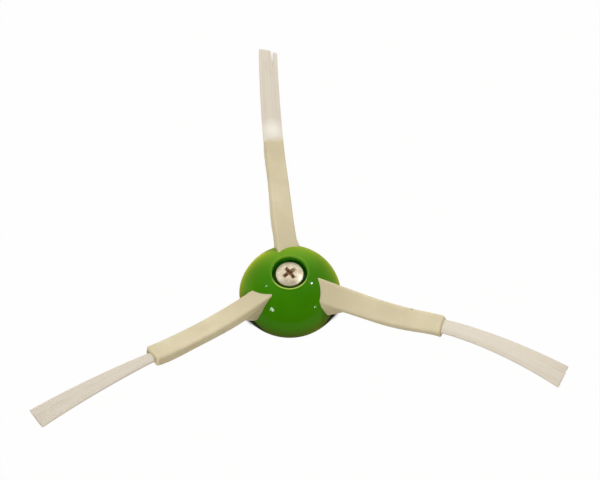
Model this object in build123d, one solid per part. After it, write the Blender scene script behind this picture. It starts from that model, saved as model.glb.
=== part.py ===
from build123d import *
from collections import namedtuple
from math import cos, radians, sin, sqrt, tan
import os

# Three-armed side brush of a robot floor cleaner, lying on its hub's flat base with the dome up.
# Origin: centre of the base. +Z up along the spin axis. Millimetres and degrees.

# Hub: a moulded dome on a short upright band
hub_radius = 13.7
base_band_height = 0.8
dome_rise = 11.05
hub_wall = 2.0
base_edge_chamfer = 0.3

# Screw seat sunk into the top of the dome
counterbore_radius = 4.75
seat_height = 8.5
counterbore_edge_chamfer = 0.5

# Square socket in the underside that slips over the cleaner's drive post
socket_across_flats = 7.0
socket_corner_radius = 0.6
socket_depth = 6.0
socket_lead_in = 0.4
boss_wall = 1.4

# Pan-head screw with a cross recess
thread_radius = 2.0
thread_clearance = 0.25
thread_length = 8.0
thread_tip_chamfer = 0.5
head_radius = 3.75
head_side_height = 1.5
head_crown_height = 1.0
head_edge_chamfer = 0.4
recess_span = 4.4
recess_wing = 1.1
recess_depth = 1.7
recess_taper = 12.0
recess_angle = 37.0

# Arms: elastomer sleeves set radially into the hub, each lifting towards its mouth
arm_names = ("right", "back", "left")
first_arm_azimuth = -23.5
sleeve_reach = 42.1
sleeve_level_reach = 14.8
sleeve_level_height = 7.28
sleeve_mouth_height = 12.75
sleeve_root_width = 6.65
sleeve_mouth_width = 5.3
sleeve_root_thickness = 2.6
sleeve_mouth_thickness = 3.0
sleeve_root_twist = 27.0
sleeve_mouth_twist = 11.0
sleeve_corner_chamfer = 0.45
sleeve_stations = (0.0, 0.14, 0.29, 0.5, 0.75, 1.0)
seat_wall = 0.95

# Root of each sleeve: a neck through the hub wall, a wider foot that locks behind it and a web that
# props the bar from low on the dome
root_web = 0.5
root_floor = 2.7
plumb_length = 7.0
neck_high_side = 2.8
neck_high_draft = 0.5
neck_high_rise = 0.7
neck_low_side = 3.7
neck_low_drop = 1.6
foot_width = 8.4
foot_length = 2.0
foot_top = 5.9
web_reach = 17.0
web_floor = 1.5
web_inset = 0.7
web_depth = 2.0
web_low_side = 2.2
web_high_side = 1.3
housing_wall = 1.2

# Bristle tufts: a flat bundle bonded into the sleeve that fans out past the mouth
bundle_width = 3.6
bundle_thickness = 1.5
bundle_corner_chamfer = 0.3
bundle_depth = 10.0
tuft_exit_slope = 0.26
tuft_tip_rise = 2.2
tuft_tip_thickness = 1.1
ridges_per_side = 4
ridge_height = 0.12
drift_power = 1.5
fan_stations = (0.0, 0.08, 0.3, 0.55, 0.8, 1.0)

# Each tuft has taken its own set: how far it reaches out of the sleeve, how wide it fans and over
# what length, and how far its tip drifts sideways
Tuft = namedtuple("Tuft", "length spread flare_length drift")
tuft_sets = {
    "right": Tuft(length=31.4, spread=6.1, flare_length=31.0, drift=-2.4),
    "back": Tuft(length=31.8, spread=5.6, flare_length=2.5, drift=-1.6),
    "left": Tuft(length=31.0, spread=6.4, flare_length=29.0, drift=-1.6),
}

# Split in the end of the back tuft, where one shorter strand stands apart
split_offset = -0.75
split_width = 0.5
split_length = 5.0
strand_shortfall = 0.6

# Sizes that follow from the ones above
dome_radius = (hub_radius**2 + dome_rise**2) / (2 * dome_rise)
dome_centre = base_band_height + dome_rise - dome_radius
boss_radius = socket_across_flats / sqrt(2) + boss_wall
root_start = boss_radius + root_web
sleeve_start = counterbore_radius + seat_wall
arm_spacing = 360 / len(arm_names)
past_hub = 2 * hub_radius


def turned(profile):
    """Solid of revolution about Z from a half section in the XZ plane."""
    return revolve(Plane.XZ * profile, Axis.Z)


def broken_corner(profile, corner, size):
    """The profile with a chamfer at its corner nearest to the given point."""
    nearest = profile.vertices().sort_by_distance((*corner, 0))[0]
    return chamfer(nearest, size)


def dome_height(radius, wall=0):
    """Height of the dome at a distance from the axis, or of its inside when a wall is given."""
    return dome_centre + sqrt((dome_radius - wall) ** 2 - radius**2)


def hub_blank():
    """Dome on an upright band, with the screw seat sunk into its top."""
    waist_radius = (hub_radius + counterbore_radius) / 2
    rim = (counterbore_radius, dome_height(counterbore_radius))
    base_corner = (hub_radius, 0)
    spring = (hub_radius, base_band_height)
    outline = [
        Line((0, 0), base_corner),
        Line(base_corner, spring),
        ThreePointArc(spring, (waist_radius, dome_height(waist_radius)), rim),
        Line(rim, (counterbore_radius, seat_height)),
        Line((counterbore_radius, seat_height), (0, seat_height)),
        Line((0, seat_height), (0, 0)),
    ]
    profile = broken_corner(make_face(outline), base_corner, base_edge_chamfer)
    profile = broken_corner(profile, rim, counterbore_edge_chamfer)
    return turned(profile)


def hub_hollow():
    """Space under the dome, a wall inside it, between the drive boss and the arm housings."""
    inner_radius = hub_radius - hub_wall
    waist_radius = inner_radius / 2
    crown = (0, dome_height(0, hub_wall))
    spring = (inner_radius, dome_height(inner_radius, hub_wall))
    outline = [
        Line((0, 0), (inner_radius, 0)),
        Line((inner_radius, 0), spring),
        ThreePointArc(spring, (waist_radius, dome_height(waist_radius, hub_wall)), crown),
        Line(crown, (0, 0)),
    ]
    hollow = turned(make_face(outline)) - Cylinder(boss_radius, past_hub)
    housing_width = foot_width + 2 * housing_wall
    housing = Box(past_hub, housing_width, past_hub, align=(Align.MIN, Align.CENTER, Align.CENTER))
    for arm in range(len(arm_names)):
        hollow -= arm_turn(arm) * housing
    return hollow


def arm_lift(reach):
    """Height of the sleeve's centre line: level by the hub, then a parabola up to the mouth."""
    share = max(0, reach - sleeve_level_reach) / (sleeve_reach - sleeve_level_reach)
    return between(sleeve_level_height, sleeve_mouth_height, share**2)


def arm_slope(reach):
    rise = sleeve_mouth_height - sleeve_level_height
    return 2 * rise * max(0, reach - sleeve_level_reach) / (sleeve_reach - sleeve_level_reach) ** 2


def between(first, last, share):
    return first + (last - first) * share


def section_plane(point, direction, twist):
    """Plane across an arm: local x over its width, rolled by the twist, local y through it."""
    along = Vector(*direction).normalized()
    level = Vector(0, 0, 1).cross(along).normalized()
    upright = along.cross(level)
    across = level * cos(radians(twist)) + upright * sin(radians(twist))
    return Plane(origin=point, x_dir=across, z_dir=along)


def along_sleeve(reach, at_root, at_mouth):
    """A size of the sleeve that changes evenly from its root to its mouth."""
    return between(at_root, at_mouth, (reach - sleeve_start) / (sleeve_reach - sleeve_start))


def sleeve_plane(reach):
    twist = along_sleeve(reach, sleeve_root_twist, sleeve_mouth_twist)
    return section_plane((reach, 0, arm_lift(reach)), (1, 0, arm_slope(reach)), twist)


def sleeve_outline(reach):
    """Section of the bar: its sides stand plumb at the root and turn square to its faces."""
    width = along_sleeve(reach, sleeve_root_width, sleeve_mouth_width)
    thickness = along_sleeve(reach, sleeve_root_thickness, sleeve_mouth_thickness)
    plumb = max(0, 1 - ((reach - sleeve_start) / plumb_length) ** 2)
    lean = plumb * thickness * tan(radians(sleeve_root_twist))
    outline = Polyline(
        (width / 2, thickness / 2),
        (-width / 2, thickness / 2),
        (-width / 2 - lean, -thickness / 2),
        (width / 2 - lean, -thickness / 2),
        close=True,
    )
    return chamfer(make_face(outline).vertices(), sleeve_corner_chamfer)


def sleeve_bar():
    """Twisted, tapering bar lofted from the root to the mouth."""
    sections = []
    for share in sleeve_stations:
        reach = between(sleeve_start, sleeve_reach, share)
        sections.append(sleeve_plane(reach) * sleeve_outline(reach))
    return loft(sections)


def sleeve_web():
    """Gusset that slants from low on the dome out to the bar's middle line."""
    inner = hub_radius - web_depth
    outline = Polyline(
        (inner, web_floor),
        (hub_radius - web_inset, web_floor),
        (web_reach, arm_lift(web_reach)),
        (inner, arm_lift(inner)),
        close=True,
    )
    web = extrude(Plane.XZ * make_face(outline), web_low_side + web_high_side)
    return Pos(0, web_high_side, 0) * web


def sleeve_root(blank):
    """Neck under the bar, flush with the dome outside, and the foot that locks it inside."""
    middle = arm_lift(root_start)
    neck_outline = Polyline(
        (-neck_low_side, root_floor),
        (neck_high_side, root_floor),
        (neck_high_side - neck_high_draft, middle + neck_high_rise),
        (-neck_low_side, middle - neck_low_drop),
        close=True,
    )
    neck_plane = Plane(origin=(root_start, 0, 0), x_dir=(0, 1, 0), z_dir=(1, 0, 0))
    neck = extrude(neck_plane * make_face(neck_outline), past_hub)
    foot_height = foot_top - root_floor
    foot = Box(foot_length, foot_width, foot_height, align=(Align.MIN, Align.CENTER, Align.MIN))
    return (neck & blank) + Pos(root_start, 0, root_floor) * foot


def bundle():
    """Bonded end of a tuft, filling the blind slot in the sleeve's mouth."""
    outline = chamfer(Rectangle(bundle_width, bundle_thickness).vertices(), bundle_corner_chamfer)
    sections = []
    for share in (0.0, 0.5, 1.0):
        reach = between(sleeve_reach - bundle_depth, sleeve_reach, share)
        sections.append(sleeve_plane(reach) * outline)
    return loft(sections)


def ridged_outline(width, thickness):
    """Flat section with a row of shallow ridges on both sides, one for each row of bristles."""
    core = thickness / 2 - ridge_height
    half = width / 2 - core
    pitch = 2 * half / ridges_per_side
    upper = []
    for step in range(2 * ridges_per_side + 1):
        crest = ridge_height if step % 2 else 0
        upper.append((half - step * pitch / 2, core + crest))
    lower = [(-x, -y) for x, y in upper]
    outline = [*upper, (-width / 2, 0), *lower, (width / 2, 0)]
    return make_face(Polyline(*outline, close=True))


def fan_point(tuft, share):
    """Middle of the fan: it leaves the mouth rising, droops towards the tip and drifts sideways."""
    out = tuft.length * share
    droop = tuft_exit_slope * tuft.length - tuft_tip_rise
    height = sleeve_mouth_height + tuft_exit_slope * out - droop * share**2
    return Vector(sleeve_reach + out, tuft.drift * share**drift_power, height)


def fan_direction(tuft, share):
    droop = tuft_exit_slope * tuft.length - tuft_tip_rise
    climb = tuft_exit_slope - 2 * droop * share / tuft.length
    aside = drift_power * tuft.drift * share ** (drift_power - 1) / tuft.length
    return Vector(1, aside, climb)


def fan(tuft):
    sections = []
    for share in fan_stations:
        opened = min(1, share * tuft.length / tuft.flare_length)
        width = between(bundle_width, tuft.spread, opened)
        thickness = between(bundle_thickness, tuft_tip_thickness, share)
        plane = section_plane(fan_point(tuft, share), fan_direction(tuft, share), sleeve_mouth_twist)
        if share == 0:
            plane = sleeve_plane(sleeve_reach)
        sections.append(plane * ridged_outline(width, thickness))
    return loft(sections)


def tip_split(tuft):
    """Narrow wedge that parts a strand from the end of a tuft, and the length it lacks."""
    tip = fan_point(tuft, 1)
    middle = tip.Y + split_offset
    cut = Polyline(
        (tip.X - split_length, middle),
        (tip.X - strand_shortfall, middle - split_width / 2),
        (tip.X - strand_shortfall, middle - tuft.spread),
        (tip.X + split_width, middle - tuft.spread),
        (tip.X + split_width, middle + split_width / 2),
        close=True,
    )
    return Pos(0, 0, tip.Z) * extrude(make_face(cut), past_hub, both=True)


def tuft_solid(name):
    tuft = tuft_sets[name]
    solid = bundle() + fan(tuft)
    if name == "back":
        solid -= tip_split(tuft)
    return solid


def sleeve_solid(blank):
    return sleeve_bar() + sleeve_root(blank) + sleeve_web() - bundle()


def hub_solid(blank, sleeves):
    """Dome with its drive socket, screw hole, hollows and the pockets that the sleeves fill."""
    body = blank - hub_hollow() - Cylinder(thread_radius + thread_clearance, past_hub)
    opening = RectangleRounded(socket_across_flats, socket_across_flats, socket_corner_radius)
    wide = socket_across_flats + 2 * socket_lead_in
    mouth = RectangleRounded(wide, wide, socket_corner_radius + socket_lead_in)
    body -= extrude(opening, socket_depth)
    body -= loft([mouth, Pos(0, 0, socket_lead_in) * opening])
    for sleeve in sleeves:
        body -= sleeve
    return body


def screw_solid():
    """Pan-head screw seated on the counterbore's floor, its shank reaching down the socket."""
    side_top = seat_height + head_side_height
    crown = side_top + head_crown_height
    tip = seat_height - thread_length
    shoulder = (head_radius, side_top)
    outline = [
        Line((0, tip), (thread_radius - thread_tip_chamfer, tip)),
        Line((thread_radius - thread_tip_chamfer, tip), (thread_radius, tip + thread_tip_chamfer)),
        Line((thread_radius, tip + thread_tip_chamfer), (thread_radius, seat_height)),
        Line((thread_radius, seat_height), (head_radius, seat_height)),
        Line((head_radius, seat_height), shoulder),
        TangentArc((0, crown), shoulder, tangent=(1, 0)),
        Line((0, crown), (0, tip)),
    ]
    blank = turned(broken_corner(make_face(outline), shoulder, head_edge_chamfer))
    cross = Rectangle(recess_span, recess_wing) + Rectangle(recess_wing, recess_span)
    recess = extrude(cross, -recess_depth, taper=recess_taper)
    return blank - Pos(0, 0, crown) * Rot(0, 0, recess_angle) * recess


def arm_turn(arm):
    return Rot(0, 0, first_arm_azimuth + arm * arm_spacing)


def main():
    blank = hub_blank()
    sleeve = sleeve_solid(blank)
    nodes = {}
    for arm, name in enumerate(arm_names):
        nodes[f"arm_sleeve_{name}"] = arm_turn(arm) * sleeve
        nodes[f"bristle_tuft_{name}"] = arm_turn(arm) * tuft_solid(name)
    nodes["hub"] = hub_solid(blank, [nodes[f"arm_sleeve_{name}"] for name in arm_names])
    nodes["retaining_screw"] = screw_solid()
    os.makedirs("parts", exist_ok=True)
    for name, solid in nodes.items():
        export_step(solid, f"parts/{name}.step")


main()
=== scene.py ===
import math
import random
from collections import namedtuple

import bmesh
import bpy
from mathutils import Matrix, Vector


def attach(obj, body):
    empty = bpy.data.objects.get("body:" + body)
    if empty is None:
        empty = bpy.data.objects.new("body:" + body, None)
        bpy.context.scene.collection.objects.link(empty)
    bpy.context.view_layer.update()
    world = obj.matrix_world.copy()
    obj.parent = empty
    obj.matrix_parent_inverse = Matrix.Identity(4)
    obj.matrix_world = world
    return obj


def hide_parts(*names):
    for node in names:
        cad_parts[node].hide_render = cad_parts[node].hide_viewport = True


# Looks of a robot floor cleaner's side brush: a glossy domed hub, three soft arms, three bristle
# tufts and the screw that holds the hub to its drive. Sizes are millimetres and degrees unless a
# name says otherwise, and MM turns them into metres. Colours are linear red, green and blue.
MM = 0.001

# Arms, as the solids have them: reaches count out from the spin axis
ARM_NAMES = ("right", "back", "left")
FIRST_ARM_AZIMUTH = -23.5
ARM_SPACING = 120.0
ARM_LEVEL_REACH = 14.8
ARM_LEVEL_HEIGHT = 7.28
MOUTH_REACH = 42.1
MOUTH_HEIGHT = 12.75
MOUTH_SLOPE = 2 * (MOUTH_HEIGHT - ARM_LEVEL_HEIGHT) / (MOUTH_REACH - ARM_LEVEL_REACH)
MOUTH_TWIST = 11.0

# Dome of the hub, as the solid has it
HUB_RADIUS = 13.7
BASE_BAND_HEIGHT = 0.8
BASE_EDGE_CHAMFER = 0.3
DOME_RISE = 11.05
DOME_RADIUS = (HUB_RADIUS**2 + DOME_RISE**2) / (2 * DOME_RISE)
DOME_CENTRE = BASE_BAND_HEIGHT + DOME_RISE - DOME_RADIUS

# Sleeves: how finely the moulded skin is meshed and how far its edges are softened
WELD_DISTANCE = 1e-4
SKIN_VOXEL = 0.16
SKIN_SMOOTHING = 0.5
SKIN_SMOOTHING_ROUNDS = 22

# Boot of a sleeve, where it leaves the dome: its outline on the dome and its end inside the bar, as
# pairs of offset across the arm and height
BOOT_OUTLINE = (
    (-3.8, 6.3), (-3.95, 4.7), (-3.8, 2.9), (-2.7, 1.9), (-0.9, 1.3),
    (0.9, 1.35), (2.2, 2.0), (2.95, 3.1), (3.0, 5.6), (2.55, 7.6),
)
BOOT_END = ((-2.2, 5.2), (-2.5, 6.1), (3.0, 7.5), (2.6, 8.2))
BOOT_REACH = 16.8
BOOT_PROUD = 0.15
BOOT_SUNK = 1.2

# Elastomer that closes round the bristles in a sleeve's mouth, a little wider than the solid's slot
CLOSURE_WIDTH = 3.9
CLOSURE_THICKNESS = 1.8
CLOSURE_DEPTH = 1.5
CLOSURE_INSET = 0.08

# Bristles: filaments in staggered rows, gripped in the sleeve and fanned past its mouth
FILAMENT_RADIUS = 0.08
FILAMENT_BEVEL_RESOLUTION = 1
FILAMENT_SHARP_ANGLE = 60.0
FILAMENT_ROWS = 6
FILAMENT_COLUMNS = 44
FILAMENT_STATIONS = 22
GRIPPED_LENGTH = 6.0
ROW_STAGGER = 0.5
TUFT_SLOPE = 0.26
TUFT_TIP_RISE = 2.2
TUFT_BEND_LENGTH = 1.5
TUFT_MOUTH_THICKNESS = 1.2
TUFT_TIP_THICKNESS = 0.8
TUFT_EDGE_THINNING = 0.93
DRIFT_POWER = 1.5
STRAY = 0.01
COLUMN_UNEVENNESS = 0.06
END_UNEVENNESS = 0.15
RANDOM_SEED = 7

# Each tuft's own set; offsets count from the arm's middle line, plus towards the next arm
Tuft = namedtuple(
    "Tuft", "mouth_width tip_width flare_power mouth_offset tip_offset tip_reach tip_skew tone"
)
# The last field scales a tuft's colour down as painted shade, 1.0 for none
TUFTS = {
    "right": Tuft(3.6, 5.85, 1.7, 0.0, -2.43, 73.5, 0.11, 1.0),
    "back": Tuft(5.6, 5.36, 1.0, 0.05, -1.6, 74.1, 0.2, 1.0),
    "left": Tuft(2.8, 6.15, 1.0, 0.3, -1.5, 73.1, -0.06, 0.88),
}

# Split in the end of the back tuft: one strand stands apart and is a little shorter
SPLIT_TUFT = "back"
SPLIT_ACROSS = -0.5
SPLIT_GAP = 0.8
SPLIT_LENGTH = 7.0
STRAND_SHORTER = 0.5

# Seat of the screw in the top of the dome: its smooth wall and the lip that stands round it
SEAT_WALL_RADIUS = 4.7
SEAT_WALL_THICKNESS = 0.04
SEAT_WALL_TOP = 10.7
LIP_INNER_RADIUS = 4.72
LIP_OUTER_RADIUS = 5.95
LIP_FOOT_HEIGHT = 10.2
LIP_RISE = 0.14
LIP_ROUND = 0.32
LIP_TUCK_SHARE = 0.1
LIP_ROUND_STEPS = 5
LIP_SLOPE_STEPS = 6
RING_SEGMENTS = 128
HUB_SHARP_ANGLE = 50.0

# Film of painted shadow on the hub's lower edge under each arm, which thins out to both sides
FILM_HEIGHT = 2.0
FILM_HEIGHT_STEPS = 8
FILM_HALF_ANGLE = 30
FILM_ANGLE_STEP = 2
FILM_PROUD = 0.03
FILM_SUNK = 0.1

# Retaining screw
SCREW_SEAT_HEIGHT = 8.5
SCREW_HEAD_RADIUS = 3.75
SCREW_HEAD_SIDE = 1.5
SCREW_HEAD_CROWN = 1.0
SCREW_HEAD_ROUND = 0.3
SCREW_HEAD_CHAMFER = 0.15
SCREW_HEAD_TOP = SCREW_SEAT_HEIGHT + SCREW_HEAD_SIDE + SCREW_HEAD_CROWN
SCREW_THREAD_RADIUS = 2.0
SCREW_THREAD_DEPTH = 0.42
SCREW_THREAD_PITCH = 0.7
SCREW_LENGTH = 8.0
SCREW_TIP_HEIGHT = SCREW_SEAT_HEIGHT - SCREW_LENGTH
SCREW_TIP_CHAMFER = 0.5
SCREW_SEGMENTS = 96
SCREW_SHARP_ANGLE = 32.0
STEPS_PER_THREAD = 16
SHOULDER_STEPS = 6
CROWN_STEPS = 12
RECESS_SPAN = 4.4
RECESS_WING = 1.1
RECESS_DEPTH = 1.7
RECESS_FLOOR_SHARE = 0.45
RECESS_ANGLE = 37.0
PUNCH_ABOVE_HEAD = 0.5

# Green of the hub: mottled, with a painted sheen on the upper back of the dome, a darker and
# browner green towards the base as painted shade and floor reflection, and painted shade in the
# screw's seat and along the lower edge
HUB_GREENS = ((0.033, 0.19, 0.0008), (0.038, 0.208, 0.001))
HUB_SHEEN_TINT = (1.0, 0.97, 0.04, 1.0)
PAINTED_SHEEN_GREEN = (0.11, 0.31, 0.01)
PAINTED_SHEEN_PLACE = Vector((0.0, 8.0, 10.0))
PAINTED_SHEEN_RADIUS = 11.0
LOW_SHADE_GREENS = ((0.038, 0.085, 0.0025), (0.042, 0.105, 0.003))
LOW_SHADE_FULL_BELOW = 0.2
LOW_SHADE_NONE_ABOVE = 4.0
SEAT_PAINTED_SHADE = (0.01, 0.12, 0.0008)
SEAT_MIDDLE = Vector((0.0, 0.0, 9.5))
SEAT_SHADE_RADIUS = 4.86
SEAT_SHADE_FADE = 0.1
EDGE_PAINTED_SHADE = (0.012, 0.009, 0.003)
EDGE_SHADE_HEIGHT = 0.8
EDGE_SHADE_FULL_HEIGHT = 0.6 * EDGE_SHADE_HEIGHT
SEAT_WALL_GREENS = ((0.028, 0.26, 0.0015), (0.022, 0.21, 0.0012))
SHADOW_FILM_BLACKS = ((0.006, 0.012, 0.002), (0.016, 0.024, 0.005))

# Painted highlight on the lip's round edge, clearest at the front
LIP_HIGHLIGHT_GREEN = (0.42, 0.56, 0.1)
LIP_MIDDLE = Vector((0.0, 0.0, 11.0))
LIP_HIGHLIGHT_RADIUS = 5.05
LIP_HIGHLIGHT_FADE = 0.2
LIP_FRONT = Vector((0.0, -5.0, 11.0))
HIGHLIGHT_FRONT_NEAR = 3.0
HIGHLIGHT_FRONT_FAR = 6.0
LEAST_HIGHLIGHT = 0.12

# Cream of the sleeves, darker near the hub as painted shade, and a dark speck on top of the right one
SLEEVE_CREAMS = ((0.655, 0.565, 0.37), (0.705, 0.62, 0.42))
SCATTER_DEPTH = 1.2
SCATTER_SHARES = (1.0, 0.75, 0.45)
ROOT_SHADE_CREAM = (0.605, 0.52, 0.335)
ROOT_SHADE_MIDDLE = Vector((0.0, 0.0, 7.0))
ROOT_SHADE_START = 11.0
ROOT_SHADE_END = 25.0
SPECK_BROWN = (0.06, 0.035, 0.012)
SPECK_PLACE = Vector((31.3, -11.2, 11.9))
SPECK_RADIUS = 0.35
SPECK_FADE_RADIUS = 1.7 * SPECK_RADIUS

# Off-white of the bristles, with a painted highlight on the back tuft just past its sleeve's mouth
BRISTLE_WHITES = ((0.73, 0.65, 0.53), (0.81, 0.735, 0.62))
PATCH_WHITE = (0.77, 0.685, 0.57)
GLARE_PAINTED_WHITE = (0.96, 0.91, 0.81)
GLARE_TUFT = "back"
GLARE_PLACE = Vector((-5.1, 44.7, 13.7))
GLARE_RADIUS = 4.8
GLARE_FULL_RADIUS = 0.1 * GLARE_RADIUS

# Plating of the screw, darker brown down in its recess
PLATING_COLOURS = ((0.76, 0.655, 0.49), (0.56, 0.465, 0.335))
RECESS_BROWN = (0.42, 0.29, 0.16)
RECESS_FLOOR = Vector((0.0, 0.0, SCREW_HEAD_TOP - RECESS_DEPTH))
RECESS_BROWN_RADIUS = 0.9
RECESS_CLEAN_RADIUS = 2.0

# Factors between which most of a noise texture lies
NOISE_LOW = 0.3
NOISE_HIGH = 0.7

# Camera at the photograph's viewing angle, for a picture of 600 by 480
CAMERA_TARGET = Vector((2.732, 16.799, 0.0))
CAMERA_DISTANCE = 280.0
CAMERA_ELEVATION = 58.049
CAMERA_LENS = 59.917
CAMERA_SENSOR = 36.0

# Pale floor: it looks white where it is open and dark where the object all but touches it
FLOOR_SIZE = 8000.0
FLOOR_COLOUR = (0.36, 0.31, 0.21)
FLOOR_WHITENESS = 0.985
# Painted shadow: the floor's colour where the object all but touches it
PAINTED_CONTACT_SHADOW = (0.03, 0.025, 0.02)
CONTACT_REACH = 4.5
CONTACT_SAMPLES = 32
CONTACT_OPENNESS = 0.4
CLEAR_OPENNESS = 0.53

# Sky, brightest above and behind
SKY_BRIGHT_WAY = Vector((0.0, 0.74, 0.67))
SKY_DIM_COLOUR = (0.115, 0.095, 0.068, 1.0)
SKY_BRIGHT_COLOUR = (1.2, 1.2, 1.2, 1.0)
SKY_BRIGHT_FROM = 0.9

# Four small lamps, whose images are the glints on the dome
LAMP_COLOUR = (0.93, 0.97, 1.0)
LAMP_DISTANCE = 600.0
Lamp = namedtuple("Lamp", "direction size radiance")
LAMPS = {
    "lamp_right": Lamp((0.725, 0.126, 0.677), 52.0, 100.0),
    "lamp_left": Lamp((-0.775, 0.039, 0.631), 36.0, 62.0),
    "lamp_front_left": Lamp((-0.608, -0.707, 0.36), 84.0, 64.0),
    "lamp_front_right": Lamp((0.821, -0.517, 0.241), 42.0, 64.0),
}

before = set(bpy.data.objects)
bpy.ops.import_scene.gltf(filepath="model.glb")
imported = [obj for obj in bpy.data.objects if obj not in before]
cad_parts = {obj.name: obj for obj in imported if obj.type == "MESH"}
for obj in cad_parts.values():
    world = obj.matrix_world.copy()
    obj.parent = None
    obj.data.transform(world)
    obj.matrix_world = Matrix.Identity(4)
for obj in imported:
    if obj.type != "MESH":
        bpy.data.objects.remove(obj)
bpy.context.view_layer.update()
rng = random.Random(RANDOM_SEED)


def place_object(name, data):
    """New object in the scene."""
    piece = bpy.data.objects.new(name, data)
    bpy.context.scene.collection.objects.link(piece)
    return piece


def finished_mesh(shape, name):
    """Mesh data made from a bmesh, its faces turned outwards."""
    bmesh.ops.recalc_face_normals(shape, faces=shape.faces)
    mesh = bpy.data.meshes.new(name)
    shape.to_mesh(mesh)
    shape.free()
    return mesh


def baked_mesh(carrier):
    """Mesh of an object with its modifiers or bevels applied; the object itself goes."""
    bpy.context.view_layer.update()
    evaluated = carrier.evaluated_get(bpy.context.evaluated_depsgraph_get())
    mesh = bpy.data.meshes.new_from_object(evaluated)
    bpy.data.objects.remove(carrier)
    return mesh


def shade_smooth(mesh, sharp_angle=None):
    """Smooth shading, apart from edges sharper than the angle."""
    mesh.shade_smooth()
    if sharp_angle:
        mesh.set_sharp_from_angle(angle=math.radians(sharp_angle))


def dress(piece, node, material):
    """The piece stands for a node, which is hidden, and gets its finish."""
    piece.data.materials.clear()
    piece.data.materials.append(material)
    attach(piece, "root")
    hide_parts(node)


# Material nodes


class Shader:
    """A material with short calls for the nodes that its finish is made of."""

    def __init__(self, name):
        self.material = bpy.data.materials.new(name)
        self.material.use_nodes = True
        self.tree = self.material.node_tree
        self.surface = self.tree.nodes["Principled BSDF"]
        self.place = self.tree.nodes.new("ShaderNodeTexCoord").outputs["Object"]

    def node(self, kind, **settings):
        """New node with the given settings."""
        node = self.tree.nodes.new(kind)
        for key, value in settings.items():
            setattr(node, key, value)
        return node

    def link(self, output, target):
        self.tree.links.new(output, target)

    def feed(self, socket, value):
        """Links an output to a socket, or sets a plain value on it."""
        if isinstance(value, bpy.types.NodeSocket):
            self.link(value, socket)
        else:
            socket.default_value = value

    def set(self, **values):
        """Plain values for the surface's sockets, named with underscores."""
        for key, value in values.items():
            self.surface.inputs[key.replace("_", " ")].default_value = value

    def finish(self, colour, roughness):
        """Colour and roughness of the surface, both from outputs."""
        self.link(colour, self.surface.inputs["Base Color"])
        self.link(roughness, self.surface.inputs["Roughness"])

    def arithmetic(self, operation, *terms, use_clamp=False):
        """Result of a calculation with outputs or plain numbers."""
        node = self.node("ShaderNodeMath", operation=operation, use_clamp=use_clamp)
        for socket, term in zip(node.inputs, terms):
            self.feed(socket, term)
        return node.outputs["Value"]

    def noise(self, size, detail):
        """Noise with features of about the given size."""
        texture = self.node("ShaderNodeTexNoise")
        texture.inputs["Scale"].default_value = 1 / (size * MM)
        texture.inputs["Detail"].default_value = detail
        self.link(self.place, texture.inputs["Vector"])
        return texture.outputs["Fac"]

    def between(self, factor, low, high, start, end):
        """A value that goes from low to high as the factor goes from start to end."""
        spread = self.node("ShaderNodeMapRange", interpolation_type="SMOOTHSTEP")
        self.link(factor, spread.inputs["Value"])
        spread.inputs["From Min"].default_value = start
        spread.inputs["From Max"].default_value = end
        spread.inputs["To Min"].default_value = low
        spread.inputs["To Max"].default_value = high
        return spread.outputs["Result"]

    def varied(self, low, high, size, detail):
        """A value that wanders from low to high, in patches of about the given size."""
        return self.between(self.noise(size, detail), low, high, NOISE_LOW, NOISE_HIGH)

    def blend(self, factor, first, second):
        """Colour mixed from two colours or colour outputs."""
        mix = self.node("ShaderNodeMix", data_type="RGBA")
        self.link(factor, mix.inputs["Factor"])
        for socket, colour in ((mix.inputs[6], first), (mix.inputs[7], second)):
            plain = not isinstance(colour, bpy.types.NodeSocket)
            self.feed(socket, (*colour, 1.0) if plain else colour)
        return mix.outputs[2]

    def mottled(self, colours, size, detail):
        """Two colours in soft patches of about the given size."""
        return self.blend(self.varied(0.0, 1.0, size, detail), *colours)

    def bump(self, height, distance, strength):
        """Unevenness of the surface."""
        bump = self.node("ShaderNodeBump")
        bump.inputs["Distance"].default_value = distance * MM
        bump.inputs["Strength"].default_value = strength
        self.link(height, bump.inputs["Height"])
        self.link(bump.outputs["Normal"], self.surface.inputs["Normal"])

    def below(self, full, none):
        """One up to a height, fading to nothing at a second one."""
        axes = self.node("ShaderNodeSeparateXYZ")
        self.link(self.place, axes.inputs["Vector"])
        height = self.arithmetic("DIVIDE", axes.outputs["Z"], MM)
        return self.between(height, 1.0, 0.0, full, none)

    def distance_to(self, place):
        """Distance from a place on the object, in millimetres."""
        gap = self.node("ShaderNodeVectorMath", operation="DISTANCE")
        gap.inputs[1].default_value = place * MM
        self.link(self.place, gap.inputs[0])
        return self.arithmetic("DIVIDE", gap.outputs["Value"], MM)

    def near(self, place, full, none, least=0.0):
        """One up to a distance from a place, fading to the least value at a second distance."""
        return self.between(self.distance_to(place), 1.0, least, full, none)


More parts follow.
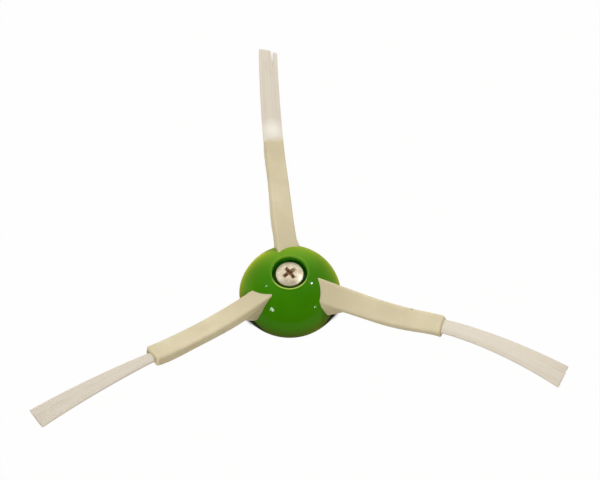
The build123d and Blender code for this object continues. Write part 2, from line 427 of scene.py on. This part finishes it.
def hub_material(name, painted_lip_highlight=False):
    """Glossy green moulded plastic with painted sheen, painted shade browner towards the base, and a
    paler painted highlight on a lip's edge.
    """
    shader = Shader(name)
    shader.set(Specular_IOR_Level=0.0, Coat_Weight=0.14, Coat_Roughness=0.06)
    shader.set(Sheen_Weight=1.0, Sheen_Roughness=0.4, Sheen_Tint=HUB_SHEEN_TINT)
    colour = shader.mottled(HUB_GREENS, size=6.0, detail=3.0)
    # Painted sheen: a paler, yellower green on the upper back of the dome
    colour = shader.blend(shader.near(PAINTED_SHEEN_PLACE, 0.0, PAINTED_SHEEN_RADIUS), colour, PAINTED_SHEEN_GREEN)
    # Painted shade and floor reflection: a darker, browner green towards the base
    low_shade = shader.blend(shader.noise(size=0.35, detail=4.0), *LOW_SHADE_GREENS)
    colour = shader.blend(shader.below(LOW_SHADE_FULL_BELOW, LOW_SHADE_NONE_ABOVE), colour, low_shade)
    # Painted shade inside the screw's seat
    in_seat = shader.near(SEAT_MIDDLE, SEAT_SHADE_RADIUS, SEAT_SHADE_RADIUS + SEAT_SHADE_FADE)
    colour = shader.blend(in_seat, colour, SEAT_PAINTED_SHADE)
    # Painted shade along the hub's lower edge
    at_edge = shader.below(EDGE_SHADE_FULL_HEIGHT, EDGE_SHADE_HEIGHT)
    colour = shader.blend(at_edge, colour, EDGE_PAINTED_SHADE)
    if painted_lip_highlight:
        # Painted highlight on the lip's round edge, clearest at the front
        on_lip = shader.near(LIP_MIDDLE, LIP_HIGHLIGHT_RADIUS, LIP_HIGHLIGHT_RADIUS + LIP_HIGHLIGHT_FADE)
        in_front = shader.near(LIP_FRONT, HIGHLIGHT_FRONT_NEAR, HIGHLIGHT_FRONT_FAR, LEAST_HIGHLIGHT)
        lip_highlight = shader.arithmetic("MULTIPLY", on_lip, in_front)
        colour = shader.blend(lip_highlight, colour, LIP_HIGHLIGHT_GREEN)
    shader.finish(colour, shader.varied(0.2, 0.3, size=1.4, detail=5.0))
    shader.bump(shader.noise(size=0.8, detail=3.0), distance=0.01, strength=0.12)
    return shader.material


def seat_material():
    """The hub's green inside the screw seat, where the skin is dull and a little dirty."""
    shader = Shader("green_dull_plastic")
    shader.set(Specular_IOR_Level=0.2)
    colour = shader.mottled(SEAT_WALL_GREENS, size=0.7, detail=3.0)
    shader.finish(colour, shader.varied(0.4, 0.55, size=0.9, detail=3.0))
    return shader.material


def shadow_film_material():
    """Near-black painted shadow, matt and mottled."""
    shader = Shader("painted_shadow_black")
    shader.set(Specular_IOR_Level=0.1)
    colour = shader.mottled(SHADOW_FILM_BLACKS, size=0.5, detail=4.0)
    shader.finish(colour, shader.varied(0.7, 0.9, size=0.4, detail=3.0))
    return shader.material


def sleeve_material():
    """Cream elastomer with a satin skin, faint mottling, painted shade near the hub and one dark speck.
    """
    shader = Shader("cream_elastomer")
    shader.set(IOR=1.45, Specular_IOR_Level=0.35)
    shader.set(Subsurface_Weight=0.25, Subsurface_Scale=SCATTER_DEPTH * MM)
    shader.set(Subsurface_Radius=SCATTER_SHARES)
    colour = shader.mottled(SLEEVE_CREAMS, size=4.5, detail=4.0)
    # Painted shade: a darker cream near the hub
    colour = shader.blend(shader.near(ROOT_SHADE_MIDDLE, ROOT_SHADE_START, ROOT_SHADE_END), colour, ROOT_SHADE_CREAM)
    raggedness = shader.noise(size=0.5, detail=3.0)
    from_speck = shader.distance_to(SPECK_PLACE)
    ragged = shader.arithmetic("MULTIPLY_ADD", raggedness, SPECK_RADIUS, from_speck)
    speck = shader.between(ragged, 1.0, 0.0, SPECK_RADIUS, SPECK_FADE_RADIUS)
    colour = shader.blend(speck, colour, SPECK_BROWN)
    shader.finish(colour, shader.varied(0.42, 0.56, size=1.1, detail=5.0))
    shader.bump(shader.noise(size=0.25, detail=3.0), distance=0.02, strength=0.18)
    return shader.material


def toned(colour, tone):
    """A colour made darker or lighter."""
    return tuple(channel * tone for channel in colour)


def bristle_material(name):
    """Off-white nylon filaments, each its own shade, with soft patches across them, painted shade on a
    darker tuft and a painted highlight on one.
    """
    shader = Shader("nylon_filaments_" + name)
    shader.set(IOR=1.53, Specular_IOR_Level=0.35)
    tone = TUFTS[name].tone
    filament = shader.node("ShaderNodeNewGeometry").outputs["Random Per Island"]
    shade = shader.between(filament, 0.0, 1.0, start=0.0, end=1.0)
    # Painted shade: the tuft's whites scaled by its own factor
    colour = shader.blend(shade, *[toned(white, tone) for white in BRISTLE_WHITES])
    patches = shader.varied(0.0, 0.5, size=2.5, detail=3.0)
    colour = shader.blend(patches, colour, toned(PATCH_WHITE, tone))
    if name == GLARE_TUFT:
        # Painted highlight: glare on the back tuft just past its sleeve's mouth
        glare = shader.near(GLARE_PLACE, GLARE_FULL_RADIUS, GLARE_RADIUS)
        colour = shader.blend(glare, colour, GLARE_PAINTED_WHITE)
    shader.finish(colour, shader.between(filament, 0.36, 0.48, start=0.0, end=1.0))
    return shader.material


def screw_material():
    """Bright plated steel with a warm cast, faint patches and darker brown down in the recess."""
    shader = Shader("plated_steel")
    shader.set(Metallic=0.7)
    colour = shader.mottled(PLATING_COLOURS, size=0.9, detail=4.0)
    in_recess = shader.near(RECESS_FLOOR, RECESS_BROWN_RADIUS, RECESS_CLEAN_RADIUS)
    colour = shader.blend(in_recess, colour, RECESS_BROWN)
    shader.finish(colour, shader.varied(0.27, 0.45, size=0.4, detail=4.0))
    shader.bump(shader.noise(size=0.5, detail=3.0), distance=0.05, strength=0.35)
    return shader.material


# Sleeves


def arm_turn(arm):
    """Turn that brings an arm from the X axis to its place."""
    return Matrix.Rotation(math.radians(FIRST_ARM_AZIMUTH + arm * ARM_SPACING), 4, "Z")


def arm_height(reach):
    """Height of a sleeve's middle line."""
    share = max(0.0, reach - ARM_LEVEL_REACH) / (MOUTH_REACH - ARM_LEVEL_REACH)
    return ARM_LEVEL_HEIGHT + (MOUTH_HEIGHT - ARM_LEVEL_HEIGHT) * share**2


def dome_reach(across, height):
    """Distance along an arm at which a line at this offset and height leaves the dome."""
    return math.sqrt(DOME_RADIUS**2 - (height - DOME_CENTRE) ** 2 - across**2)


def boot_points():
    """Corners of the tapered boot that fairs a sleeve into the dome."""
    points = [Vector((BOOT_REACH, across, height)) for across, height in BOOT_END]
    for across, height in BOOT_OUTLINE:
        surface = dome_reach(across, height)
        points.append(Vector((surface + BOOT_PROUD, across, height)))
        points.append(Vector((surface - BOOT_SUNK, across, height)))
    return points


def closure_points():
    """Corners of the block that closes a sleeve's slot just inside its mouth."""
    roll = math.radians(MOUTH_TWIST)
    level = Vector((0.0, 1.0, 0.0))
    upright = Vector((-MOUTH_SLOPE, 0.0, 1.0)).normalized()
    across = level * math.cos(roll) + upright * math.sin(roll)
    through = upright * math.cos(roll) - level * math.sin(roll)
    points = []
    for depth in (CLOSURE_INSET, CLOSURE_DEPTH):
        middle = Vector((MOUTH_REACH - depth, 0.0, arm_height(MOUTH_REACH - depth)))
        for side in (-CLOSURE_WIDTH / 2, CLOSURE_WIDTH / 2):
            for face in (-CLOSURE_THICKNESS / 2, CLOSURE_THICKNESS / 2):
                points.append(middle + across * side + through * face)
    return points


def add_hull(shape, points):
    """Adds the convex block that the points span."""
    corners = [shape.verts.new(point * MM) for point in points]
    hull = bmesh.ops.convex_hull(shape, input=corners)
    unused = [item for item in hull["geom_interior"] if isinstance(item, bmesh.types.BMVert)]
    bmesh.ops.delete(shape, geom=unused, context="VERTS")


def sleeve(arm, node, material):
    """The arm's solid with its boot, its mouth closed and its edges softened, as moulded elastomer is."""
    shape = bmesh.new()
    shape.from_mesh(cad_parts[node].data)
    bmesh.ops.remove_doubles(shape, verts=shape.verts, dist=WELD_DISTANCE * MM)
    for points in (boot_points(), closure_points()):
        add_hull(shape, [arm_turn(arm) @ point for point in points])
    carrier = place_object(node + "_blank", finished_mesh(shape, node + "_blank"))
    skin = carrier.modifiers.new("skin", "REMESH")
    skin.mode = "VOXEL"
    skin.voxel_size = SKIN_VOXEL * MM
    soften = carrier.modifiers.new("soften", "SMOOTH")
    soften.factor = SKIN_SMOOTHING
    soften.iterations = SKIN_SMOOTHING_ROUNDS
    mesh = baked_mesh(carrier)
    shade_smooth(mesh)
    piece = place_object(node + "_skin", mesh)
    dress(piece, node, material)


# Bristle tufts


def tuft_height(out, length):
    """Height of a tuft's middle line: on from the sleeve's slope, easing, then drooping."""
    if out < 0:
        return arm_height(MOUTH_REACH + out)
    eased = (MOUTH_SLOPE - TUFT_SLOPE) * TUFT_BEND_LENGTH * (1 - math.exp(-out / TUFT_BEND_LENGTH))
    droop = TUFT_SLOPE * length - TUFT_TIP_RISE
    return MOUTH_HEIGHT + TUFT_SLOPE * out - droop * (out / length) ** 2 + eased


def filament_path(form, across, through, stray, end_reach, split):
    """Points of one filament, from inside the sleeve to its cut end."""
    length = form.tip_reach - MOUTH_REACH
    filament_length = end_reach - MOUTH_REACH + GRIPPED_LENGTH
    roll = math.radians(MOUTH_TWIST)
    sideways = Vector((0.0, math.cos(roll), math.sin(roll)))
    upwards = Vector((0.0, -math.sin(roll), math.cos(roll)))
    thinning = math.sqrt(1 - TUFT_EDGE_THINNING * across**2)
    points = []
    for station in range(FILAMENT_STATIONS):
        out = -GRIPPED_LENGTH + filament_length * station / (FILAMENT_STATIONS - 1)
        share = max(0.0, out / length)
        width = form.mouth_width + (form.tip_width - form.mouth_width) * share**form.flare_power
        thickness = TUFT_MOUTH_THICKNESS + (TUFT_TIP_THICKNESS - TUFT_MOUTH_THICKNESS) * share
        gap = 0.0
        if split:
            gap = SPLIT_GAP * max(0.0, 1 - (length - out) / SPLIT_LENGTH)
        drift = form.mouth_offset + (form.tip_offset - form.mouth_offset) * share**DRIFT_POWER
        offset = drift + (across + stray * share) * (width - gap) / 2
        offset += math.copysign(gap / 2, across - SPLIT_ACROSS)
        rise = through * thickness * thinning / 2
        middle = Vector((MOUTH_REACH + out, 0.0, tuft_height(out, length)))
        points.append(middle + sideways * offset + upwards * rise)
    return points


def tuft_paths(name):
    """Paths of all filaments of a tuft, row by row; across and through run from -1 to 1."""
    form = TUFTS[name]
    split = name == SPLIT_TUFT
    paths = []
    for row in range(FILAMENT_ROWS):
        through = 2 * row / (FILAMENT_ROWS - 1) - 1
        stagger = ROW_STAGGER * (row % 2)
        for column in range(FILAMENT_COLUMNS):
            across = 2 * (column + stagger) / (FILAMENT_COLUMNS - ROW_STAGGER) - 1
            across += rng.uniform(-COLUMN_UNEVENNESS, COLUMN_UNEVENNESS) * 2 / FILAMENT_COLUMNS
            across = max(-1.0, min(1.0, across))
            end_reach = form.tip_reach + form.tip_skew * across * form.tip_width / 2
            end_reach += rng.uniform(-END_UNEVENNESS, END_UNEVENNESS)
            if split and across < SPLIT_ACROSS:
                end_reach -= STRAND_SHORTER
            stray = rng.gauss(0.0, STRAY) * (1 - abs(across))
            paths.append(filament_path(form, across, through, stray, end_reach, split))
    return paths


def tuft(arm, name, material):
    """One fan of filaments, each a thin rod with a cut end."""
    turn = arm_turn(arm)
    curve = bpy.data.curves.new("filaments_" + name, "CURVE")
    curve.dimensions = "3D"
    curve.bevel_depth = FILAMENT_RADIUS * MM
    curve.bevel_resolution = FILAMENT_BEVEL_RESOLUTION
    curve.use_fill_caps = True
    for path in tuft_paths(name):
        spline = curve.splines.new("POLY")
        spline.points.add(len(path) - 1)
        for point, place in zip(spline.points, path):
            point.co = (*(turn @ place * MM), 1.0)
    mesh = baked_mesh(place_object("filaments_" + name, curve))
    shade_smooth(mesh, FILAMENT_SHARP_ANGLE)
    piece = place_object("bristle_filaments_" + name, mesh)
    dress(piece, "bristle_tuft_" + name, material)


# Seat of the screw and painted shadow on the hub


def dome_height(radius):
    """Height of the dome at a distance from the spin axis."""
    return DOME_CENTRE + math.sqrt(DOME_RADIUS**2 - radius**2)


def hub_side_radius(height):
    """Radius of the hub's outside: chamfered edge, upright band, then the dome."""
    if height < BASE_EDGE_CHAMFER:
        return HUB_RADIUS - BASE_EDGE_CHAMFER + height
    if height < BASE_BAND_HEIGHT:
        return HUB_RADIUS
    return math.sqrt(DOME_RADIUS**2 - (height - DOME_CENTRE) ** 2)


def join_loops(shape, sections, ring=False):
    """Skin over a row of closed sections, which is joined up as a ring or capped at both ends."""
    loops = [[shape.verts.new(place * MM) for place in section] for section in sections]
    following = loops[1:] + loops[:1] if ring else loops[1:]
    for first, second in zip(loops, following):
        for index in range(len(first)):
            after = (index + 1) % len(first)
            shape.faces.new((first[index], second[index], second[after], first[after]))
    if not ring:
        shape.faces.new(loops[0])
        shape.faces.new(loops[-1])


def hub_detail(name, shape, material):
    """Piece that rides on the hub without standing for a node."""
    mesh = finished_mesh(shape, name)
    shade_smooth(mesh, HUB_SHARP_ANGLE)
    mesh.materials.append(material)
    piece = place_object(name, mesh)
    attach(piece, "root")


def turned_section(profile, angle):
    """A half section, given as radius and height, stood at an angle about the spin axis."""
    return [
        Vector((radius * math.cos(angle), radius * math.sin(angle), height)) for radius, height in profile
    ]


def turned_ring(name, profile, material):
    """Piece of the hub that a closed half section sweeps about the spin axis."""
    angles = [2 * math.pi * segment / RING_SEGMENTS for segment in range(RING_SEGMENTS)]
    shape = bmesh.new()
    join_loops(shape, [turned_section(profile, angle) for angle in angles], ring=True)
    hub_detail(name, shape, material)


def lip_profile():
    """Closed section of the lip: up the bore, over a round edge and out along the dome."""
    crest_radius = LIP_INNER_RADIUS + LIP_ROUND
    crest_height = dome_height(crest_radius) + LIP_RISE
    points = [(LIP_INNER_RADIUS, LIP_FOOT_HEIGHT)]
    for step in range(LIP_ROUND_STEPS + 1):
        angle = math.radians(90 - 90 * step / LIP_ROUND_STEPS)
        radius = crest_radius - LIP_ROUND * math.sin(angle)
        points.append((radius, crest_height - LIP_ROUND * (1 - math.cos(angle))))
    for step in range(1, LIP_SLOPE_STEPS + 1):
        share = step / LIP_SLOPE_STEPS
        radius = crest_radius + (LIP_OUTER_RADIUS - crest_radius) * share
        rise = LIP_RISE * ((1 - share) ** 2 - LIP_TUCK_SHARE * share)
        points.append((radius, dome_height(radius) + rise))
    points.append((LIP_OUTER_RADIUS, LIP_FOOT_HEIGHT))
    return points


def seat(highlighted_green, dull_green):
    """Lip that stands round the screw seat, and the seat's wall."""
    # The lip takes the green with a painted highlight on its edge
    turned_ring("seat_lip", lip_profile(), highlighted_green)
    outer = SEAT_WALL_RADIUS + SEAT_WALL_THICKNESS
    wall = [(SEAT_WALL_RADIUS, SCREW_SEAT_HEIGHT), (SEAT_WALL_RADIUS, SEAT_WALL_TOP)]
    wall += [(outer, SEAT_WALL_TOP), (outer, SCREW_SEAT_HEIGHT)]
    turned_ring("seat_wall", wall, dull_green)


def film_section(arm, offset):
    """Section of the painted shadow film at an angle to one side of an arm."""
    top = FILM_HEIGHT * (1 - (offset / FILM_HALF_ANGLE) ** 2)
    heights = [top * step / FILM_HEIGHT_STEPS for step in range(FILM_HEIGHT_STEPS + 1)]
    profile = [(hub_side_radius(height) + FILM_PROUD, height) for height in heights]
    profile += [(hub_side_radius(height) - FILM_SUNK, height) for height in reversed(heights)]
    return turned_section(profile, math.radians(FIRST_ARM_AZIMUTH + arm * ARM_SPACING + offset))


def shadow_film(material):
    """Thin dark film of painted shadow on the hub's lower edge, highest under each arm."""
    offsets = range(FILM_ANGLE_STEP - FILM_HALF_ANGLE, FILM_HALF_ANGLE, FILM_ANGLE_STEP)
    shape = bmesh.new()
    for arm in range(len(ARM_NAMES)):
        join_loops(shape, [film_section(arm, offset) for offset in offsets])
    hub_detail("painted_shadow_film", shape, material)


# Retaining screw


def screw_profile():
    """Half section from the tip up to the crown: radius, height and whether it is threaded."""
    core = SCREW_THREAD_RADIUS - SCREW_TIP_CHAMFER
    points = [(0.0, SCREW_TIP_HEIGHT, False), (core, SCREW_TIP_HEIGHT, False)]
    steps = STEPS_PER_THREAD * round(SCREW_LENGTH / SCREW_THREAD_PITCH)
    for step in range(steps + 1):
        points.append((SCREW_THREAD_RADIUS, SCREW_TIP_HEIGHT + SCREW_LENGTH * step / steps, True))
    points.append((SCREW_HEAD_RADIUS - SCREW_HEAD_CHAMFER, SCREW_SEAT_HEIGHT, False))
    points.append((SCREW_HEAD_RADIUS, SCREW_SEAT_HEIGHT + SCREW_HEAD_CHAMFER, False))
    crown_radius = (SCREW_HEAD_RADIUS**2 + SCREW_HEAD_CROWN**2) / (2 * SCREW_HEAD_CROWN)
    crown_centre = SCREW_HEAD_TOP - crown_radius
    shoulder = SCREW_HEAD_RADIUS - SCREW_HEAD_ROUND
    shoulder_top = crown_centre + math.sqrt(crown_radius**2 - shoulder**2)
    side_top = SCREW_SEAT_HEIGHT + SCREW_HEAD_SIDE - SCREW_HEAD_ROUND
    for step in range(SHOULDER_STEPS + 1):
        angle = math.radians(90 * step / SHOULDER_STEPS)
        radius = shoulder + SCREW_HEAD_ROUND * math.cos(angle)
        points.append((radius, side_top + (shoulder_top - side_top) * math.sin(angle), False))
    for step in range(1, CROWN_STEPS + 1):
        radius = shoulder * (1 - step / CROWN_STEPS)
        points.append((radius, crown_centre + math.sqrt(crown_radius**2 - radius**2), False))
    return points


def thread_reach(height, turn):
    """Radius of the thread at a height and a share of a whole turn; it runs out towards the tip."""
    flank = abs((height / SCREW_THREAD_PITCH - turn) % 1.0 - 0.5) * 2
    started = min(1.0, (height - SCREW_TIP_HEIGHT) / SCREW_TIP_CHAMFER)
    crest = SCREW_THREAD_RADIUS - SCREW_TIP_CHAMFER * (1 - started)
    return crest - SCREW_THREAD_DEPTH * flank * started


def screw_blank():
    """Turned screw with a helical thread, before its recess is struck."""
    shape = bmesh.new()
    rings = []
    for radius, height, threaded in screw_profile():
        if radius == 0:
            rings.append([shape.verts.new((0.0, 0.0, height * MM))])
            continue
        ring = []
        for segment in range(SCREW_SEGMENTS):
            turn = segment / SCREW_SEGMENTS
            angle = 2 * math.pi * turn
            reach = thread_reach(height, turn) if threaded else radius
            x = reach * math.cos(angle)
            y = reach * math.sin(angle)
            ring.append(shape.verts.new((x * MM, y * MM, height * MM)))
        rings.append(ring)
    for lower, upper in zip(rings, rings[1:]):
        for segment in range(SCREW_SEGMENTS):
            after = (segment + 1) % SCREW_SEGMENTS
            corners = [lower[segment % len(lower)], lower[after % len(lower)]]
            corners += [upper[after % len(upper)], upper[segment % len(upper)]]
            shape.faces.new(list(dict.fromkeys(corners)))
    return finished_mesh(shape, "screw_blank")


def recess_cutter():
    """Cross-shaped punch, narrowing downwards."""
    wing = RECESS_WING / 2
    span = RECESS_SPAN / 2
    quarter = ((span, -wing), (span, wing), (wing, wing))
    heights = (SCREW_HEAD_TOP + PUNCH_ABOVE_HEAD, SCREW_HEAD_TOP, SCREW_HEAD_TOP - RECESS_DEPTH)
    sections = []
    for height, share in zip(heights, (1.0, 1.0, RECESS_FLOOR_SHARE)):
        section = []
        for corner in range(4):
            turn = Matrix.Rotation(math.radians(90 * corner + RECESS_ANGLE), 3, "Z")
            section += [turn @ Vector((x * share, y * share, height)) for x, y in quarter]
        sections.append(section)
    shape = bmesh.new()
    join_loops(shape, sections)
    return finished_mesh(shape, "recess_cutter")


def screw(material):
    """Pan-head screw: a turned blank with a cross recess struck in its head."""
    carrier = place_object("screw_blank", screw_blank())
    cutter = place_object("recess_cutter", recess_cutter())
    strike = carrier.modifiers.new("strike", "BOOLEAN")
    strike.operation = "DIFFERENCE"
    strike.object = cutter
    strike.solver = "EXACT"
    mesh = baked_mesh(carrier)
    bpy.data.objects.remove(cutter)
    shade_smooth(mesh, SCREW_SHARP_ANGLE)
    piece = place_object("cross_head_screw", mesh)
    dress(piece, "retaining_screw", material)


# Studio


def floor_material():
    """White to look at, pale where it sends light back to the object, dark along the contact, where a
    shadow is painted into its colour.
    """
    shader = Shader("pale_floor")
    shader.set(Roughness=0.9, Specular_IOR_Level=0.1)
    openness = shader.node("ShaderNodeAmbientOcclusion", samples=CONTACT_SAMPLES)
    openness.inputs["Distance"].default_value = CONTACT_REACH * MM
    clear = openness.outputs["AO"]
    contact = shader.between(clear, 1.0, 0.0, CONTACT_OPENNESS, CLEAR_OPENNESS)
    # Painted shadow: the floor's own colour goes dark where ambient occlusion finds the object close
    pale = shader.blend(contact, FLOOR_COLOUR, PAINTED_CONTACT_SHADOW)
    shader.link(pale, shader.surface.inputs["Base Color"])
    rays = shader.node("ShaderNodeLightPath").outputs
    looked_at = shader.arithmetic("ADD", rays["Is Camera Ray"], rays["Is Glossy Ray"])
    looked_at = shader.arithmetic("ADD", looked_at, rays["Is Transmission Ray"], use_clamp=True)
    whiteness = shader.between(clear, 0.0, FLOOR_WHITENESS, CONTACT_OPENNESS, CLEAR_OPENNESS)
    white = shader.node("ShaderNodeEmission")
    mix = shader.node("ShaderNodeMixShader")
    shader.link(shader.arithmetic("MULTIPLY", looked_at, whiteness), mix.inputs[0])
    shader.link(shader.surface.outputs["BSDF"], mix.inputs[1])
    shader.link(white.outputs["Emission"], mix.inputs[2])
    shader.link(mix.outputs["Shader"], shader.tree.nodes["Material Output"].inputs["Surface"])
    return shader.material


def floor(material):
    """Wide pale floor, which keeps the object's shadow and the dark line of contact, partly painted into
    its colour.
    """
    half = FLOOR_SIZE / 2 * MM
    corners = [(-half, -half, 0.0), (half, -half, 0.0), (half, half, 0.0), (-half, half, 0.0)]
    mesh = bpy.data.meshes.new("studio_floor")
    mesh.from_pydata(corners, [], [range(len(corners))])
    mesh.materials.append(material)
    ground = place_object("studio_floor", mesh)


def sky():
    """Soft light all round, brightest above and behind, warm and dim low in front."""
    world = bpy.data.worlds.new("studio_sky")
    world.use_nodes = True
    tree = world.node_tree
    toward = tree.nodes.new("ShaderNodeTexCoord").outputs["Generated"]
    along = tree.nodes.new("ShaderNodeVectorMath")
    along.operation = "DOT_PRODUCT"
    along.inputs[1].default_value = SKY_BRIGHT_WAY.normalized()
    ramp = tree.nodes.new("ShaderNodeValToRGB")
    ramp.color_ramp.interpolation = "EASE"
    dim, bright = ramp.color_ramp.elements
    dim.position = 0.0
    dim.color = SKY_DIM_COLOUR
    bright.position = SKY_BRIGHT_FROM
    bright.color = SKY_BRIGHT_COLOUR
    tree.links.new(toward, along.inputs[0])
    tree.links.new(along.outputs["Value"], ramp.inputs["Fac"])
    tree.links.new(ramp.outputs["Color"], tree.nodes["Background"].inputs["Color"])
    bpy.context.scene.world = world


def lamps():
    """Round lamps that face the hub; a lamp's power is four times its radiance times its area."""
    for name, lamp in LAMPS.items():
        light = bpy.data.lights.new(name, "AREA")
        light.shape = "DISK"
        light.size = lamp.size * MM
        light.energy = lamp.radiance * 4 * math.pi * (light.size / 2) ** 2
        light.color = LAMP_COLOUR
        holder = place_object(name, light)
        toward = Vector(lamp.direction).normalized()
        holder.location = toward * LAMP_DISTANCE * MM
        holder.rotation_euler = toward.to_track_quat("Z", "Y").to_euler()


def camera():
    """Camera that looks at its target from the front and above."""
    view = bpy.data.cameras.new("photo_view")
    view.lens = CAMERA_LENS
    view.sensor_fit = "HORIZONTAL"
    view.sensor_width = CAMERA_SENSOR
    view.clip_start = MM
    eye = place_object("photo_view", view)
    rise = math.radians(CAMERA_ELEVATION)
    back = Vector((0.0, -math.cos(rise), math.sin(rise)))
    eye.location = (CAMERA_TARGET + back * CAMERA_DISTANCE) * MM
    eye.rotation_euler = (math.pi / 2 - rise, 0.0, 0.0)
    bpy.context.scene.camera = eye


def main():
    """The object's pieces and finishes, then the studio."""
    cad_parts["hub"].material_slots[0].material = hub_material("green_gloss_plastic")
    # The lip's green carries a painted highlight on its edge
    seat(hub_material("green_plastic_painted_highlight", painted_lip_highlight=True), seat_material())
    # Dark film of painted shadow under each arm
    shadow_film(shadow_film_material())
    cream = sleeve_material()
    for arm, name in enumerate(ARM_NAMES):
        sleeve(arm, "arm_sleeve_" + name, cream)
        tuft(arm, name, bristle_material(name))
    screw(screw_material())
    floor(floor_material())
    sky()
    lamps()
    camera()
    bpy.context.scene.view_settings.view_transform = "Standard"


main()
